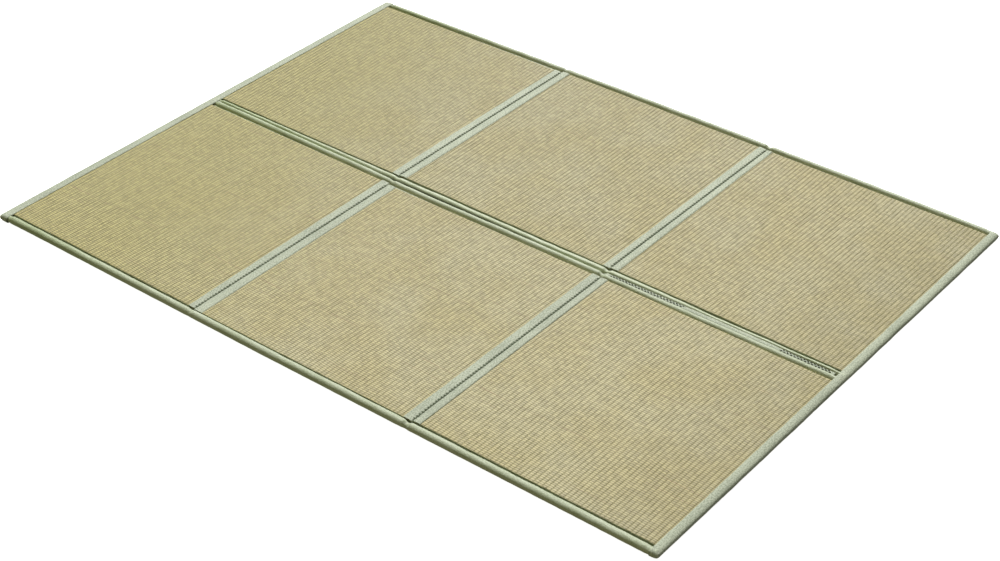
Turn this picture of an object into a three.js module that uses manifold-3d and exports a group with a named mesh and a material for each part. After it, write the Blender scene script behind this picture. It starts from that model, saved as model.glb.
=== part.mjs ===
// A folding rush mat of six panels, three long and two wide, opened flat on a surface.
// Millimetres, +Z up. X runs along the mat, Y across it, and the origin is under its middle.

import * as THREE from 'three';
import { mergeVertices } from 'three/addons/utils/BufferGeometryUtils.js';
import Module from 'manifold-3d';

// The whole mat
const matLength = 2100;
const matWidth = 1550;
const columnPitch = 700;
const seatGap = 0.3;
const runningGap = 1;
const weldDistance = 0.001;

// Straight facets in a quarter turn of a rounded edge, and in a full roll
const quarterFacets = 5;
const rollFacets = 13;
const liningFacets = 10;

// Rush-faced panels
const rushTop = 17.5;
const rushInsetY = 22;
const ribsPerPanel = 54;
const ribDepth = 0.7;
const ribShoulder = 0.28;
const neckTop = 14.5;
const backingOverlap = 0.6;

// Tapes round the panel edges
const tapeCloth = 1.3;
const tapeFace = 27.5;
const tapeTop = rushTop + seatGap + tapeCloth;
const tapeCorner = 6;

// Rolled bindings along the rows
const rollRadius = 10;
const bindingCloth = 1.5;
const lipAngle = 36;
const pinchedRadius = 8;
const pinchReach = 11;
const taperReach = 9;

// Hinge tape in the centre gap
const hingeCloth = 1;
const hingeEnd = 1021;

const columnNames = ['left', 'middle', 'right'];

// Where the near row's inner edge runs: the gap to the far row opens towards the right
const nearInnerEdge = [
  { x: -1050, edge: -1.2 },
  { x: -350, edge: -1.6 },
  { x: 0, edge: -2.8 },
  { x: 350, edge: -3.4 },
  { x: 361, edge: -4.6 },
  { x: 700, edge: -5.8 },
  { x: 1050, edge: -6.4 },
];
const farInnerEdge = [
  { x: -1050, edge: 1.2 },
  { x: 1050, edge: 1.2 },
];
const nearOuterEdge = [
  { x: -1050, edge: -matWidth / 2 },
  { x: 1050, edge: -matWidth / 2 },
];
const farOuterEdge = [
  { x: -1050, edge: matWidth / 2 },
  { x: 1050, edge: matWidth / 2 },
];

// The hinge tape lies deep where the rows touch, and comes up where the gap is open
const hingeHeight = [
  { x: -1021, top: 11 },
  { x: 350, top: 12.5 },
  { x: 361, top: 14 },
  { x: 700, top: 15.8 },
  { x: 1021, top: 16.2 },
];

const rushCloth = new THREE.MeshStandardMaterial({ color: 0xb7af87, roughness: 0.75, metalness: 0 });
const greenCloth = new THREE.MeshStandardMaterial({ color: 0xbec6ac, roughness: 0.85, metalness: 0 });

const wasm = await Module();
wasm.setup();

function valueAt(table, x, column) {
  const next = Math.max(1, table.findIndex((row) => row.x >= x));
  const low = table[next - 1];
  const high = table[next];
  return THREE.MathUtils.mapLinear(x, low.x, high.x, low[column], high[column]);
}

function arcPoints(centreX, centreY, radius, fromDegrees, toDegrees, steps) {
  return Array.from({ length: steps + 1 }, (_, index) => {
    const angle = THREE.MathUtils.degToRad(fromDegrees + ((toDegrees - fromDegrees) * index) / steps);
    return new THREE.Vector2(centreX + radius * Math.cos(angle), centreY + radius * Math.sin(angle));
  });
}

function toSolid(geometry) {
  const bare = geometry.clone();
  bare.deleteAttribute('normal');
  bare.deleteAttribute('uv');
  const merged = mergeVertices(bare, weldDistance);
  return new wasm.Manifold(
    new wasm.Mesh({
      numProp: 3,
      vertProperties: merged.attributes.position.array,
      triVerts: Uint32Array.from(merged.index.array),
    }),
  );
}

function toGeometry(solid) {
  const mesh = solid.getMesh();
  const geometry = new THREE.BufferGeometry();
  geometry.setAttribute('position', new THREE.BufferAttribute(Float32Array.from(mesh.vertProperties), 3));
  geometry.setIndex(new THREE.BufferAttribute(Uint32Array.from(mesh.triVerts), 1));
  geometry.computeVertexNormals();
  return geometry;
}

// A section drawn in Y and Z, drawn out along X
function alongX(points, fromX, toX) {
  const shape = new THREE.Shape(points);
  const geometry = new THREE.ExtrudeGeometry(shape, { depth: toX - fromX, bevelEnabled: false });
  const turn = new THREE.Matrix4().set(0, 0, 1, fromX, 1, 0, 0, 0, 0, 1, 0, 0, 0, 0, 0, 1);
  return geometry.applyMatrix4(turn);
}

// A section drawn in X and Z, drawn out along Y
function alongY(points, fromY, toY) {
  const shape = new THREE.Shape(points);
  const geometry = new THREE.ExtrudeGeometry(shape, { depth: toY - fromY, bevelEnabled: false });
  return geometry.rotateX(Math.PI / 2).translate(0, toY, 0);
}

function roundedBox(lowX, highX, lowY, highY, lowRadius, highRadius) {
  return [
    ...arcPoints(highX - highRadius, lowY + highRadius, highRadius, -90, 0, quarterFacets),
    ...arcPoints(highX - highRadius, highY - highRadius, highRadius, 0, 90, quarterFacets),
    ...arcPoints(lowX + lowRadius, highY - lowRadius, lowRadius, 90, 180, quarterFacets),
    ...arcPoints(lowX + lowRadius, lowY + lowRadius, lowRadius, 180, 270, quarterFacets),
  ].filter((point, index, all) => index === 0 || point.distanceTo(all[index - 1]) > weldDistance);
}

// The two rows: side tells which way is outwards, and each edge is where its roll ends
const rows = [
  { name: 'near', side: -1, outer: nearOuterEdge, inner: nearInnerEdge },
  { name: 'far', side: 1, outer: farOuterEdge, inner: farInnerEdge },
];

// Where the rush face of one panel starts and ends across the row
function rushSpan(row, centreX) {
  const endsX = [centreX - columnPitch / 2, centreX + columnPitch / 2];
  const edges = [row.outer, row.inner].map((table, index) => {
    const inward = index === 0 ? -row.side : row.side;
    return Math.max(...endsX.map((x) => valueAt(table, x, 'edge') * inward)) * inward + rushInsetY * inward;
  });
  return edges.sort((a, b) => a - b);
}

function ribbedSection(lowX, highX, lowRadius, highRadius, ribsFrom, ribsTo) {
  const low = tapeCloth + seatGap;
  const corners = roundedBox(lowX, highX, low, rushTop, lowRadius, highRadius);
  const topStart = corners.findIndex((point) => point.y > rushTop - weldDistance);
  const pitch = (ribsTo - ribsFrom) / ribsPerPanel;
  const ribs = Array.from({ length: ribsPerPanel }, (_, index) => {
    const start = ribsTo - pitch * index;
    return [
      new THREE.Vector2(start - pitch * ribShoulder, rushTop),
      new THREE.Vector2(start - pitch * (1 - ribShoulder), rushTop),
      new THREE.Vector2(start - pitch, rushTop - ribDepth),
    ];
  }).flat();
  ribs.pop();
  return [...corners.slice(0, topStart + 1), ...ribs, ...corners.slice(topStart + 1)];
}

// The padded edge that fills a rolled binding, with the neck that the seam pulls down
function paddedEdgeGeometry(table, away, faceY, lowX, highX) {
  const beadRadius = rollRadius - bindingCloth - seatGap;
  const neckLow = bindingCloth + seatGap;
  const neckAngle = THREE.MathUtils.radToDeg(Math.asin((neckTop - rollRadius) / beadRadius));
  const bead = arcPoints(0, rollRadius, beadRadius, neckAngle, 270, liningFacets);
  const neck = [new THREE.Vector2(rollRadius, neckLow), new THREE.Vector2(rollRadius, neckTop)];
  const section = [...bead, ...neck].map((point) => new THREE.Vector2(-away * point.x, point.y));
  const bends = table.map((row) => row.x).filter((x) => x > lowX && x < highX);
  const stations = [lowX, ...bends, highX].map((x) => ({
    x,
    y: valueAt(table, x, 'edge') - away * rollRadius,
  }));
  return sweepAlongX(section, stations, (station, point) => ({
    x: station.x,
    y: Math.abs(point.x) < beadRadius + weldDistance ? station.y + point.x : faceY - away,
    z: point.y,
  }));
}

function panelGeometry(row, column) {
  const centreX = (column - 1) * columnPitch;
  const atStart = column === 0;
  const atEnd = column === columnNames.length - 1;
  const endInset = tapeCloth + seatGap;
  const jointInset = endInset + seatGap / 2;
  const endRadius = (rushTop - endInset) / 2;
  const jointRadius = tapeCorner - tapeCloth - seatGap;
  const lowX = centreX - columnPitch / 2 + (atStart ? endInset : jointInset);
  const highX = centreX + columnPitch / 2 - (atEnd ? endInset : jointInset);
  const faceLow = centreX - columnPitch / 2 + tapeFace;
  const faceHigh = centreX + columnPitch / 2 - tapeFace;
  const [rushLow, rushHigh] = rushSpan(row, centreX);
  const section = ribbedSection(
    lowX,
    highX,
    atStart ? endRadius : jointRadius,
    atEnd ? endRadius : jointRadius,
    faceLow,
    faceHigh,
  );
  let solid = toSolid(alongY(section, rushLow, rushHigh));

  const backing = [
    new THREE.Vector2(faceLow + seatGap, 0),
    new THREE.Vector2(faceHigh - seatGap, 0),
    new THREE.Vector2(faceHigh - seatGap, endInset + backingOverlap),
    new THREE.Vector2(faceLow + seatGap, endInset + backingOverlap),
  ];
  solid = solid.add(toSolid(alongY(backing, rushLow, rushHigh)));

  const besideJoint = columnPitch / 2 - pinchReach - runningGap;
  const besideTaper = columnPitch / 2 - tapeFace - taperReach - runningGap;
  const beadLow = centreX - (atStart ? besideTaper : besideJoint);
  const beadHigh = centreX + (atEnd ? besideTaper : besideJoint);
  for (const [table, away] of [
    [row.outer, row.side],
    [row.inner, -row.side],
  ]) {
    const faceY = away < 0 ? rushLow : rushHigh;
    solid = solid.add(toSolid(paddedEdgeGeometry(table, away, faceY, beadLow, beadHigh)));
  }
  return toGeometry(solid);
}

// A tape folded round one panel edge: over the top, down the edge and back under the panel
function jointTapeGeometry(jointX, away, lowY, highY) {
  const outerX = -seatGap / 2;
  const innerX = outerX - tapeCloth;
  const innerCorner = tapeCorner - tapeCloth;
  const outline = [
    new THREE.Vector2(-tapeFace, tapeTop),
    ...arcPoints(outerX - tapeCorner, tapeTop - tapeCorner, tapeCorner, 90, 0, quarterFacets),
    ...arcPoints(outerX - tapeCorner, tapeCorner, tapeCorner, 0, -90, quarterFacets),
    new THREE.Vector2(-tapeFace, 0),
    new THREE.Vector2(-tapeFace, tapeCloth),
    ...arcPoints(innerX - innerCorner, tapeCloth + innerCorner, innerCorner, -90, 0, quarterFacets),
    ...arcPoints(innerX - innerCorner, tapeTop - tapeCloth - innerCorner, innerCorner, 0, 90, quarterFacets),
    new THREE.Vector2(-tapeFace, tapeTop - tapeCloth),
  ];
  const placed = outline.map((point) => new THREE.Vector2(jointX + away * point.x, point.y));
  return alongY(placed, lowY, highY);
}

// A tape over the end of a row, closed over the panel and over both rolled bindings
function endTapeGeometry(end, lowY, highY) {
  const openX = matLength / 2 - tapeFace;
  const shell = (inset, reach) => {
    const half = tapeTop / 2 - inset;
    const across = roundedBox(lowY + inset, highY - inset, inset, tapeTop - inset, half, half);
    const along = [
      new THREE.Vector2(openX - reach, inset),
      ...arcPoints(matLength / 2 - inset - half, tapeTop / 2, half, -90, 90, 2 * quarterFacets),
      new THREE.Vector2(openX - reach, tapeTop - inset),
    ];
    const turned = along.map((point) => new THREE.Vector2(end * point.x, point.y));
    const fromX = Math.min(end * (openX - reach), (end * matLength) / 2);
    const toX = Math.max(end * (openX - reach), (end * matLength) / 2);
    return toSolid(alongX(across, fromX, toX)).intersect(toSolid(alongY(turned, lowY, highY)));
  };
  return toGeometry(shell(0, 0).subtract(shell(tapeCloth, runningGap)));
}

// The cross section of a rolled binding: a roll of cloth, and a flat lip under the panel
function bindingSection(inward) {
  const lipReach = rushInsetY - rollRadius - seatGap;
  const inner = rollRadius - bindingCloth;
  const outline = [
    ...arcPoints(0, 0, rollRadius, lipAngle, 270, rollFacets),
    new THREE.Vector2(lipReach, -rollRadius),
    new THREE.Vector2(lipReach, -inner),
    ...arcPoints(0, 0, inner, 270, lipAngle, liningFacets),
  ];
  return outline.map((point) => new THREE.Vector2(point.x * inward, point.y));
}

// The rings of a binding along the row: pinched at the joints, drawn in under the end tapes
function bindingStations(table, away) {
  const endX = (matLength - tapeTop) / 2;
  const cappedRadius = tapeTop / 2 - tapeCloth - seatGap;
  const coveredX = matLength / 2 - tapeFace - runningGap;
  const openX = coveredX - taperReach;
  const jointX = columnPitch / 2;
  const half = [
    { x: 0, radius: rollRadius },
    { x: jointX - pinchReach, radius: rollRadius },
    { x: jointX, radius: pinchedRadius },
    { x: jointX + pinchReach, radius: rollRadius },
    { x: columnPitch, radius: rollRadius },
    { x: openX, radius: rollRadius },
    { x: coveredX, radius: cappedRadius },
    { x: endX, radius: cappedRadius },
  ];
  const mirrored = half.slice(1).map((station) => ({ x: -station.x, radius: station.radius }));
  return [...mirrored.reverse(), ...half].map(({ x, radius }) => ({
    x,
    scale: radius / rollRadius,
    y: valueAt(table, x, 'edge') - away * rollRadius,
    z: radius === cappedRadius ? tapeTop / 2 : radius,
  }));
}

// Draws a section out in unit steps, and carries the ring of each step to its station
function sweepAlongX(section, stations, place) {
  const steps = stations.length - 1;
  const shape = new THREE.Shape(section);
  const geometry = new THREE.ExtrudeGeometry(shape, { depth: steps, steps, bevelEnabled: false });
  const position = geometry.attributes.position;
  const point = new THREE.Vector3();
  for (let index = 0; index < position.count; index += 1) {
    point.fromBufferAttribute(position, index);
    const moved = place(stations[Math.round(point.z)], point);
    position.setXYZ(index, moved.x, moved.y, moved.z);
  }
  geometry.computeVertexNormals();
  return geometry;
}

function bindingGeometry(table, away) {
  return sweepAlongX(bindingSection(-away), bindingStations(table, away), (station, point) => ({
    x: station.x,
    y: station.y + point.x * station.scale,
    z: station.z + point.y * station.scale,
  }));
}

function hingeGeometry() {
  const section = [
    new THREE.Vector2(0, -1),
    new THREE.Vector2(1, -1),
    new THREE.Vector2(1, 0),
    new THREE.Vector2(0, 0),
  ];
  const bends = nearInnerEdge.slice(1, -1).map((row) => row.x);
  const stations = [-hingeEnd, ...bends, hingeEnd].map((x) => {
    const top = valueAt(hingeHeight, x, 'top');
    const low = top - hingeCloth;
    const flank = rollRadius - Math.sqrt(rollRadius ** 2 - (low - rollRadius) ** 2) - seatGap;
    return {
      x,
      top,
      near: valueAt(nearInnerEdge, x, 'edge') - flank,
      far: valueAt(farInnerEdge, x, 'edge') + flank,
    };
  });
  return sweepAlongX(section, stations, (station, point) => ({
    x: station.x,
    y: THREE.MathUtils.lerp(station.near, station.far, point.x),
    z: station.top + point.y * hingeCloth,
  }));
}

const mat = new THREE.Group();

function addPiece(name, geometry, material) {
  const mesh = new THREE.Mesh(geometry, material.clone());
  mesh.name = name;
  mat.add(mesh);
}

for (const row of rows) {
  columnNames.forEach((columnName, column) => {
    addPiece(`rush_panel_${row.name}_${columnName}`, panelGeometry(row, column), rushCloth);
  });

  addPiece(`binding_${row.name}_outer`, bindingGeometry(row.outer, row.side), greenCloth);
  addPiece(`binding_${row.name}_inner`, bindingGeometry(row.inner, -row.side), greenCloth);

  for (let column = 0; column < columnNames.length - 1; column += 1) {
    const jointX = (column - 0.5) * columnPitch;
    const [leftLow, leftHigh] = rushSpan(row, (column - 1) * columnPitch);
    const [rightLow, rightHigh] = rushSpan(row, column * columnPitch);
    const firstName = `joint_tape_${row.name}_${2 * column + 1}`;
    const secondName = `joint_tape_${row.name}_${2 * column + 2}`;
    addPiece(firstName, jointTapeGeometry(jointX, 1, leftLow, leftHigh), greenCloth);
    addPiece(secondName, jointTapeGeometry(jointX, -1, rightLow, rightHigh), greenCloth);
  }

  for (const [endName, end] of [
    ['left', -1],
    ['right', 1],
  ]) {
    const edges = [row.outer, row.inner].map((table) => valueAt(table, (end * matLength) / 2, 'edge'));
    const [lowY, highY] = edges.sort((a, b) => a - b);
    addPiece(`end_tape_${row.name}_${endName}`, endTapeGeometry(end, lowY, highY), greenCloth);
  }
}

addPiece('centre_hinge_tape', hingeGeometry(), greenCloth);

export default mat;
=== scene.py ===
import math

import bpy
import numpy as np
from mathutils import Matrix, Vector


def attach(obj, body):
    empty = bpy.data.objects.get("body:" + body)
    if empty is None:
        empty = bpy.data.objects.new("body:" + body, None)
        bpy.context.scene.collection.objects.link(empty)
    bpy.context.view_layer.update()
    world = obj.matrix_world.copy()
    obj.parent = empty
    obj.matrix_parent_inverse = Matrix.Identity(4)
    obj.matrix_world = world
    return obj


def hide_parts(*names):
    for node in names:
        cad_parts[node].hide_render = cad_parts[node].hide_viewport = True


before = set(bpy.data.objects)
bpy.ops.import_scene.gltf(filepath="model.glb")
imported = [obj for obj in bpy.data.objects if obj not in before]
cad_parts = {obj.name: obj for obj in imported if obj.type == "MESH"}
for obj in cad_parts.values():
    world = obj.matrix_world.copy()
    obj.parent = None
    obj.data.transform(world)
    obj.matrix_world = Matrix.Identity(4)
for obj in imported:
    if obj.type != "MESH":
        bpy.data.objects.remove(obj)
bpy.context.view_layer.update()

# A folding rush mat of six panels, laid out flat.
# Lengths are millimetres all the way and become metres in addPiece.
# Places in the finishes are metres, as Blender gives them.
scene = bpy.context.scene
print("frame loaded:", len(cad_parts), "solids")


viewpoint = {
    "place": (2747.4, -3438.0, 2928.9),
    "target": (160.2, -185.0, 10.0),
    "rollDegrees": -0.08,
    "lens": 72.955,
    "sensor": 36,
    "nearest": 0.1,  # metres
    "farthest": 400,
}


def addCamera():
    data = bpy.data.cameras.new("matCamera")
    data.lens = viewpoint["lens"]
    data.sensor_width = viewpoint["sensor"]
    data.clip_start = viewpoint["nearest"]
    data.clip_end = viewpoint["farthest"]
    camera = bpy.data.objects.new("matCamera", data)
    scene.collection.objects.link(camera)
    place = Vector(viewpoint["place"]) / 1000
    look = Vector(viewpoint["target"]) / 1000 - place
    turn = look.to_track_quat("-Z", "Y").to_matrix()
    roll = Matrix.Rotation(math.radians(viewpoint["rollDegrees"]), 3, "Z")
    camera.matrix_world = Matrix.Translation(place) @ (turn @ roll).to_4x4()
    scene.camera = camera


addCamera()
print("camera placed")


layout = {
    "pitch": 700.0,
    "tapeTop": 19.1,
    "rushTop": 17.5,
    # where each rush face ends at the row's two long edges, at its left and right end
    "faceEdges": {
        ("near", 0): {"outer": (-748.5, -751.0), "inner": (-18.0, -22.0)},
        ("near", 1): {"outer": (-754.5, -753.5), "inner": (-28.5, -25.0)},
        ("near", 2): {"outer": (-751.2, -749.6), "inner": (-25.5, -28.5)},
        ("far", 0): {"outer": (747.0, 749.0), "inner": (24.7, 23.5)},
        ("far", 1): {"outer": (755.0, 753.0), "inner": (26.0, 20.5)},
        ("far", 2): {"outer": (751.5, 750.0), "inner": (23.0, 16.0)},
    },
    # where the two tapes of a joint start, meet and end, at three places from its near to its far end
    "jointY": {"near": (-740, -400, -60), "far": (80, 380, 700)},
    "joints": {
        ("near", 0): {"left": (-367.6, -372.6, -373.8), "seam": (-346.8, -346.6, -346.8),
                      "right": (-318.6, -318.6, -319.0)},
        ("near", 1): {"left": (329.4, 330.0, 329.2), "seam": (355.4, 355.6, 355.8), "right": (378.0, 378.2, 378.0)},
        ("far", 0): {"left": (-378.0, -378.4, -375.4), "seam": (-353.5, -353.2, -351.6),
                     "right": (-328.4, -326.4, -325.6)},
        ("far", 1): {"left": (328.6, 328.4, 328.4), "seam": (350.6, 352.0, 353.7), "right": (374.2, 374.0, 373.2)},
    },
}
rowNames = ["near", "far"]
lowHighSides = {"near": ("outer", "inner"), "far": ("inner", "outer")}  # of a row, from low to high y
columnNames = ["left", "middle", "right"]


def jointX(joint):
    return (joint - 0.5) * layout["pitch"]


def faceEdge(row, column, side, x):
    left, right = layout["faceEdges"][row, column][side]
    centre = (column - 1) * layout["pitch"]
    share = (np.asarray(x, float) - centre + layout["pitch"] / 2) / layout["pitch"]
    return left + (right - left) * share


def jointLine(row, joint, which, y):
    return np.interp(y, layout["jointY"][row], layout["joints"][row, joint][which])


def outwards(row, side):
    return (-1 if row == "near" else 1) * (1 if side == "outer" else -1)


randomLine = {"knots": 4096, "shift": 1500}


# Smooth random values along one line, from -1 to 1
def wander(x, seed, spacing):
    rng = np.random.default_rng(seed)
    knots = rng.uniform(-1, 1, randomLine["knots"])
    t = np.asarray(x, float) / spacing + randomLine["shift"]
    low = np.floor(t).astype(int)
    share = t - low
    share = share * share * (3 - 2 * share)
    return knots[low % len(knots)] * (1 - share) + knots[(low + 1) % len(knots)] * share


def bump(x, centre, reach):
    t = np.clip(np.abs(np.asarray(x, float) - centre) / reach, 0, 1)
    return (1 - t * t) ** 2


def step(x, low, high):
    t = np.clip((np.asarray(x, float) - low) / (high - low), 0, 1)
    return t * t * (3 - 2 * t)


# Joins single values and lines of values into points
def joined(*parts):
    return np.stack(np.broadcast_arrays(*parts), 1)


# The length run along a line of section points, at each of them
def runAlong(line):
    return np.concatenate([[0], np.cumsum(np.linalg.norm(np.diff(line, axis=0), axis=1))])


def addPiece(name, points, faces, materials, slots=None, coords=None):
    mesh = bpy.data.meshes.new(name)
    mesh.from_pydata((np.asarray(points, float) / 1000).tolist(), [], faces)
    for material in materials:
        mesh.materials.append(material)
    if slots is not None:
        mesh.polygons.foreach_set("material_index", slots)
    if coords is not None:
        layer = mesh.uv_layers.new(name="clothCoords")
        corners = np.empty(len(mesh.loops), int)
        mesh.loops.foreach_get("vertex_index", corners)
        layer.data.foreach_set("uv", np.asarray(coords, np.float32)[corners].ravel())
    mesh.polygons.foreach_set("use_smooth", [True] * len(faces))
    mesh.update()
    piece = bpy.data.objects.new(name, mesh)
    scene.collection.objects.link(piece)
    return piece


def finishPiece(piece, slotName, *nodes):
    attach(piece, "root")
    if nodes:
        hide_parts(*nodes)
    return piece


# Faces between the rings of a closed section, one ring a station
def ringFaces(stations, count):
    faces = []
    for i in range(stations - 1):
        a = i * count
        b = a + count
        for j in range(count):
            k = (j + 1) % count
            faces.append((a + j, a + k, b + k, b + j))
    return faces


# The two faces that close the first and the last ring
def endFaces(stations, count):
    last = (stations - 1) * count
    return [tuple(range(count))[::-1], tuple(last + k for k in range(count))]


sharpDegrees = 55  # a cloth's cut edges are sharper than this


# A cloth of real thickness between two grids of points, station by station, in place of its solid
def clothPiece(name, outer, inner, coords, material, slotName, flip):
    stations, count = np.shape(outer)[:2]
    points = np.reshape([outer, inner], (-1, 3))
    half = stations * count
    faces = []
    for i in range(stations - 1):
        for j in range(count - 1):
            a = i * count + j
            faces.append((a, a + 1, a + count + 1, a + count))
            b = half + a
            faces.append((b, b + count, b + count + 1, b + 1))
        first = i * count
        faces.append((first, first + count, half + first + count, half + first))
        last = first + count - 1
        faces.append((last, half + last, half + last + count, last + count))
    for j in range(count - 1):
        faces.append((j, half + j, half + j + 1, j + 1))
        a = (stations - 1) * count + j
        faces.append((a, a + 1, half + a + 1, half + a))
    if flip:
        faces = [face[::-1] for face in faces]
    piece = addPiece(name, points, faces, [material], coords=np.reshape([coords, coords], (-1, 2)))
    piece.data.set_sharp_from_angle(angle=math.radians(sharpDegrees))
    return finishPiece(piece, slotName, name.split("_", 1)[1])


# Offsets a line of section points to its left by the cloth's thickness
def offsetLine(line, thickness):
    ahead = np.gradient(line, axis=0)
    ahead /= np.linalg.norm(ahead, axis=1)[:, None]
    return line + thickness * joined(-ahead[:, 1], ahead[:, 0])


# A round thread along a line of points
def threadMesh(path, radius, sides):
    ahead = np.gradient(path, axis=0)
    ahead /= np.linalg.norm(ahead, axis=1)[:, None]
    right = np.cross(ahead, np.array([0.0, 0.0, 1.0]))
    right /= np.linalg.norm(right, axis=1)[:, None]
    top = np.cross(right, ahead)
    angles = np.arange(sides) * 2 * math.pi / sides
    rings = (
        path[:, None]
        + radius * np.cos(angles)[None, :, None] * right[:, None]
        + radius * np.sin(angles)[None, :, None] * top[:, None]
    )
    return rings.reshape(-1, 3), ringFaces(len(path), sides) + endFaces(len(path), sides)


# One material and the nodes that it is made of
class Finish:
    def __init__(self, name, surface):
        self.material = bpy.data.materials.new(name)
        self.material.use_nodes = True
        self.tree = self.material.node_tree
        self.shader = self.tree.nodes["Principled BSDF"]
        for key, value in surface.items():
            self.shader.inputs[key].default_value = value

    def node(self, kind, inputs=None, **settings):
        made = self.tree.nodes.new(kind)
        for key, value in settings.items():
            setattr(made, key, value)
        for key, value in (inputs or {}).items():
            self.feed(made.inputs[key], value)
        return made

    def feed(self, socket, value):
        if isinstance(value, bpy.types.NodeSocket):
            self.tree.links.new(value, socket)
        else:
            socket.default_value = value

    def math(self, operation, a, b=0.0):
        made = self.node("ShaderNodeMath", operation=operation)
        self.feed(made.inputs[0], a)
        self.feed(made.inputs[1], b)
        return made.outputs[0]

    def chain(self, operation, first, others):
        for other in others:
            first = self.math(operation, first, other)
        return first

    def times(self, first, *others):
        return self.chain("MULTIPLY", first, others)

    def plus(self, first, *others):
        return self.chain("ADD", first, others)

    def minus(self, first, *others):
        return self.chain("SUBTRACT", first, others)

    # How far a value lies from a middle one
    def away(self, value, middle):
        return self.math("ABSOLUTE", self.minus(value, middle))

    def ramp(self, value, low, high, outLow=0.0, outHigh=1.0):
        made = self.node("ShaderNodeMapRange", interpolation_type="SMOOTHSTEP")
        names = ("Value", "From Min", "From Max", "To Min", "To Max")
        for key, item in zip(names, (value, low, high, outLow, outHigh)):
            self.feed(made.inputs[key], item)
        return made.outputs[0]

    def mix(self, share, a, b, blend="MIX"):
        made = self.node("ShaderNodeMix", data_type="RGBA", blend_type=blend)
        for place, value in ((0, share), (6, a), (7, b)):
            self.feed(made.inputs[place], value)
        return made.outputs[2]

    # Lightens or darkens a tone by one factor
    def shade(self, tone, factor):
        return self.mix(1.0, tone, self.combine(factor, factor, factor), "MULTIPLY")

    # Tints a tone where the share is above nothing
    def stain(self, share, tone, tint):
        return self.mix(share, tone, self.mix(1.0, tone, tint, "MULTIPLY"))

    def noise(self, vector, scale, detail=2.0, rough=0.5):
        made = self.node("ShaderNodeTexNoise", {"Vector": vector, "Scale": scale, "Detail": detail, "Roughness": rough})
        return made.outputs["Fac"]

    # Noise along the cloth, with its own scale along u and along v
    def streaks(self, u, v, scaleU, scaleV, layer, detail=2.0, rough=0.5):
        return self.noise(self.combine(self.times(u, scaleU), self.times(v, scaleV), layer), 1.0, detail, rough)

    def white(self, x, y, z=0.0):
        made = self.node("ShaderNodeTexWhiteNoise", {"Vector": self.combine(x, y, z)}, noise_dimensions="3D")
        return made.outputs["Value"]

    def combine(self, x, y, z=0.0):
        return self.node("ShaderNodeCombineXYZ", {"X": x, "Y": y, "Z": z}).outputs[0]

    def separate(self, vector):
        return self.node("ShaderNodeSeparateXYZ", {"Vector": vector}).outputs

    def coords(self):
        return self.separate(self.node("ShaderNodeUVMap", uv_map="clothCoords").outputs[0])

    def objectCoords(self):
        return self.node("ShaderNodeTexCoord").outputs["Object"]

    def finish(self, tone, height, strength, depth):
        self.feed(self.shader.inputs["Base Color"], tone)
        relief = self.node("ShaderNodeBump", {"Height": height, "Strength": strength, "Distance": depth})
        self.feed(self.shader.inputs["Normal"], relief.outputs[0])
        return self.material


rushLook = {
    "surface": {"Roughness": 0.6, "Specular IOR Level": 0.35},
    "tan": (0.371, 0.322, 0.156, 1),
    "olive": (0.342, 0.299, 0.105, 1),
    "pale": (0.382, 0.342, 0.188, 1),
    # dark tone of the rib valleys: partly the colour of the strings there, partly painted shade in the recess
    "valley": (0.165, 0.158, 0.062, 1),
    "brown": (0.285, 0.200, 0.105, 1),
    "strandPitch": 1.5,  # mm between rush strands
    "cellLength": 6.6,  # mm of strands that lie together over a rib
    "cellOffset": 0.30,  # how far the bundles of two ribs may differ, in bundles
    "cellDrift": 4.0,
    "cellGap": (0.22, 0.5),
    "valleyEdge": (0.30, 0.5),
    "valleyBreakEdge": (0.30, 0.66, 0.35, 1.0),
    "patchScale": (4.5, 3.0),
    "patchEdge": (0.36, 0.64),
    # scale along u and v, layer, detail and roughness of each noise
    "valleyBreaks": (7.3, 0.035, 2.0),
    "drift": (0.09, 0.004, 12.0),
    "rows": (0.06, 0.24, 9.0, 3.0, 0.7),
    "grain": (2.6, 0.42, 1.0, 2.0, 0.6),
    "brownRun": (0.07, 1.0, 5.0),
    "layers": {"offset": 11.0, "cell": 7.0, "strand": 3.0, "brown": 13.0},
    # how much each of them lightens the face
    "light": {"cell": 0.28, "strand": 0.06, "grain": 0.36, "rows": 0.12, "gap": 0.56, "all": 0.77},
    "brownFrom": 0.988,
    "brownEdge": (0.45, 0.6),
    "brownShare": 0.75,
    # changes over the mat: from, to, value at the first, value at the second
    "oliveSlant": 0.25,
    "oliveEnd": (-0.95, -0.15, 0.85, 0.0),
    "rightEnd": (0.70, 1.00, 1.0, 0.89),
    "farRow": (-0.02, 0.02, 1.0, 0.97),
    "leftRibs": (-0.40, -0.30, 0.26, 0.0),
    "middlePanel": (0.30, 0.40),
    "farRibs": (-0.02, 0.02, 0.0, 0.22),
    "ribShow": 0.74,
    "stalkRound": 1.05,
    "heights": {"stalk": 0.16, "cell": 0.55, "gap": 0.45, "valley": 0.7},
    "relief": (0.75, 0.0010),
}


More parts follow.
